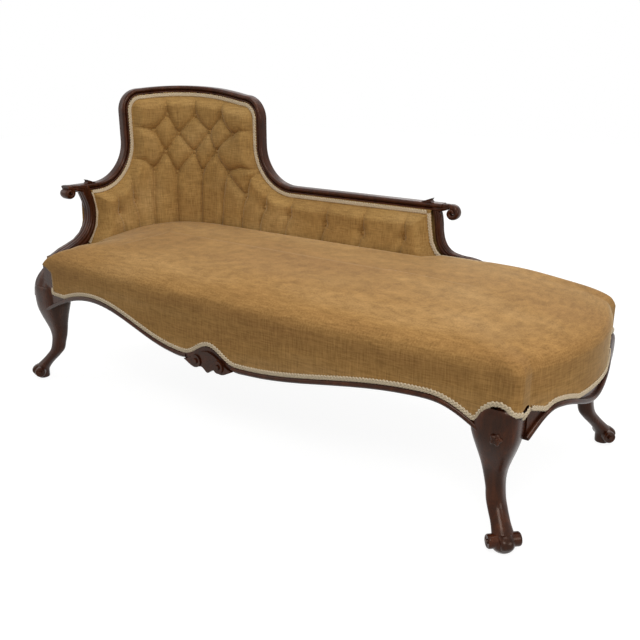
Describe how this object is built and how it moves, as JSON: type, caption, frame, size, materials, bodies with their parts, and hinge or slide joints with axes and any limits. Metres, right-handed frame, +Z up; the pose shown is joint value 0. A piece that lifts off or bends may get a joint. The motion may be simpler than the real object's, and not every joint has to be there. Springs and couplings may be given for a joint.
{
  "type": "fainting couch",
  "caption": "Padded chaise longue with a deep-buttoned half back that wraps a rounded head end, carved wood rail and supports, and cabriole legs.",
  "frame": {"origin": "middle of the bounding box in plan, on the floor under the feet", "axes": "+X from the head end to the foot end, +Y from the open front to the rear, +Z up"},
  "size_m": [1.7757, 0.7279, 0.9414],
  "materials": {
    "show_wood": "polished dark red-brown mahogany",
    "frame_wood": "plain unfinished beech",
    "velvet": "gold-tan velvet with a fine crosshatch",
    "braid": "cream scroll braid",
    "stuffing": "hair and fibre stuffing",
    "webbing": "woven jute",
    "hessian": "plain hessian",
    "bottom_cloth": "black cotton",
    "spring_steel": "coppered spring wire",
    "screw_steel": "plain steel"
  },
  "bodies": {
    "root": {"arm_pad_cover": "velvet", "head_pad_cover": "velvet", "long_pad_cover": "velvet", "seat_cover": "velvet", "outside_back_cover": "velvet", "back_buttons": "velvet", "arm_pad_stuffing": "stuffing", "head_pad_stuffing": "stuffing", "long_pad_stuffing": "stuffing", "seat_stuffing": "stuffing", "arm_rail": "show_wood", "left_hoop_stile": "show_wood", "crest_rail": "show_wood", "right_hoop_stile": "show_wood", "back_rail": "show_wood", "arm_support": "show_wood", "end_support": "show_wood", "front_left_leg": "show_wood", "front_right_leg": "show_wood", "rear_right_leg": "show_wood", "rear_left_leg": "show_wood", "front_rail_facing": "show_wood", "foot_end_rail_facing": "show_wood", "rail_cartouche": "show_wood", "rail_leaves": "show_wood", "front_seat_rail": "frame_wood", "foot_end_seat_rail": "frame_wood", "head_end_seat_rail": "frame_wood", "rear_seat_rail": "frame_wood", "head_front_upright": "frame_wood", "left_hoop_upright": "frame_wood", "head_corner_upright": "frame_wood", "right_hoop_upright": "frame_wood", "middle_back_upright": "frame_wood", "end_back_upright": "frame_wood", "corner_blocks": "frame_wood", "seat_rail_dowels": "frame_wood", "back_rail_dowels": "frame_wood", "front_gimp": "braid", "foot_end_gimp": "braid", "outside_gimp": "braid", "back_gimp": "braid", "back_end_gimps": "braid", "back_webbing": "webbing", "seat_webbing_cross": "webbing", "seat_webbing_long": "webbing", "back_hessian": "hessian", "spring_hessian": "hessian", "dust_cover": "bottom_cloth", "seat_springs": "spring_steel", "corner_block_screws": "screw_steel"}
  },
  "joints": []
}
